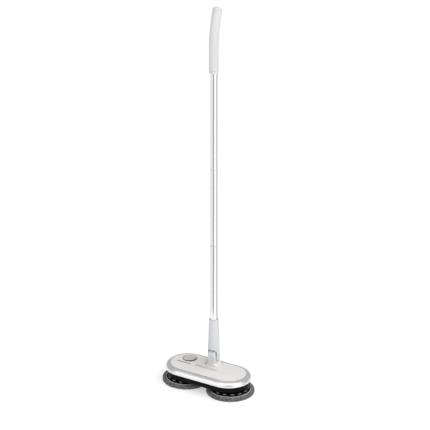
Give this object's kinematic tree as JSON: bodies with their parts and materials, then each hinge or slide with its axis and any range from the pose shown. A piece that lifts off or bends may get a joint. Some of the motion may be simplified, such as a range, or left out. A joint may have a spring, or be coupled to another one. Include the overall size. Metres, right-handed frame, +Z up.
{
  "type": "cordless spin mop",
  "caption": "Cordless floor mop with turning microfibre discs under an oval head, a two-way tilting joint and a straight tube with a curved grip.",
  "frame": {"origin": "on the floor, under the middle of the head, at the middle of the pads' footprint", "axes": "+Z up along the upright tube, +X along the head's long side, +Y towards the user, who stands behind the head"},
  "size_m": [0.295, 0.143, 1.2],
  "materials": {
    "silver_shell": "metallic silver moulded shell",
    "grey_panel": "satin light grey",
    "grey_button": "satin grey",
    "white_plastic": "satin pale grey",
    "black_plastic": "gloss black",
    "chrome_trim": "bright",
    "smoke_lens": "translucent grey",
    "steel": "plain",
    "brass": "machined",
    "nylon": "natural",
    "black_rubber": "matt",
    "green_board": "solder mask",
    "cell_sleeve": "shrink sleeve over a steel can",
    "microfibre": "plush grey microfibre",
    "hook_tape": "hook tape",
    "tube_aluminium": "polished"
  },
  "bodies": {
    "head": {"chassis": "black_plastic", "top_cover": "silver_shell", "top_panel": "grey_panel", "button_bezel": "chrome_trim", "button_spring": "steel", "foot_switch": "black_rubber", "indicator_strip": "smoke_lens", "status_window": "smoke_lens", "circuit_board": "green_board", "charging_socket": "black_rubber", "battery_cell_1": "cell_sleeve", "battery_cell_2": "cell_sleeve", "housing_screw_1": "steel", "housing_screw_2": "steel", "housing_screw_3": "steel", "housing_screw_4": "steel", "housing_screw_5": "steel", "housing_screw_6": "steel", "joint_bracket": "steel", "swivel_shaft": "steel", "spindle_bearing_right": "steel", "shaft_seal_right": "black_rubber", "gear_cover_right": "nylon", "motor_can_right": "steel", "spindle_bearing_left": "steel", "shaft_seal_left": "black_rubber", "gear_cover_left": "nylon", "motor_can_left": "steel"},
    "foot_button": {"foot_button": "grey_button"},
    "disc_right": {"mop_pad_right": "microfibre", "hook_ring_right": "hook_tape", "pad_carrier_right": "black_plastic", "carrier_screw_right": "steel", "spindle_right": "steel", "worm_wheel_right": "nylon"},
    "disc_left": {"mop_pad_left": "microfibre", "hook_ring_left": "hook_tape", "pad_carrier_left": "black_plastic", "carrier_screw_left": "steel", "spindle_left": "steel", "worm_wheel_left": "nylon"},
    "motor_right": {"armature_right": "steel", "worm_right": "brass"},
    "motor_left": {"armature_left": "steel", "worm_left": "brass"},
    "knuckle": {"knuckle": "white_plastic"},
    "handle": {"neck": "white_plastic", "pivot_pin": "steel", "pivot_cap_left": "white_plastic", "pivot_cap_right": "white_plastic", "tube_lower": "tube_aluminium", "tube_middle": "tube_aluminium", "tube_upper": "tube_aluminium", "tube_joint_lower": "white_plastic", "tube_joint_upper": "white_plastic", "handle_collar": "white_plastic", "handle_grip": "white_plastic", "handle_end_cap": "white_plastic"}
  },
  "joints": [
    {"name": "knuckle_swivel", "type": "hinge", "parent": "head", "child": "knuckle", "pos_m": [0, 0.03, 0.0471], "axis": [0, 1, 0], "range_deg": [-20, 20]},
    {"name": "handle_lean", "type": "hinge", "parent": "knuckle", "child": "handle", "pos_m": [0, 0.03, 0.089], "axis": [-1, 0, 0], "range_deg": [0, 85]},
    {"name": "button_press", "type": "slide", "parent": "head", "child": "foot_button", "axis": [0, 0, -1], "range_m": [0, 0.0028], "stiffness_N_per_m": 1200, "springref_m": -0.002, "deforming": ["button_spring"]},
    {"name": "disc_spin_right", "type": "hinge", "parent": "head", "child": "disc_right", "pos_m": [0.076, 0, 0], "axis": [0, 0, 1], "continuous": true},
    {"name": "motor_spin_right", "type": "hinge", "parent": "head", "child": "motor_right", "pos_m": [0.076, -0.02, 0.036], "axis": [1, 0, 0], "continuous": true},
    {"name": "disc_spin_left", "type": "hinge", "parent": "head", "child": "disc_left", "pos_m": [-0.076, 0, 0], "axis": [0, 0, 1], "continuous": true},
    {"name": "motor_spin_left", "type": "hinge", "parent": "head", "child": "motor_left", "pos_m": [-0.076, -0.02, 0.036], "axis": [1, 0, 0], "continuous": true}
  ],
  "couplings": [
    {"joint": "motor_spin_right", "follows": "disc_spin_right", "ratio": -30},
    {"joint": "motor_spin_left", "follows": "disc_spin_left", "ratio": 30}
  ]
}
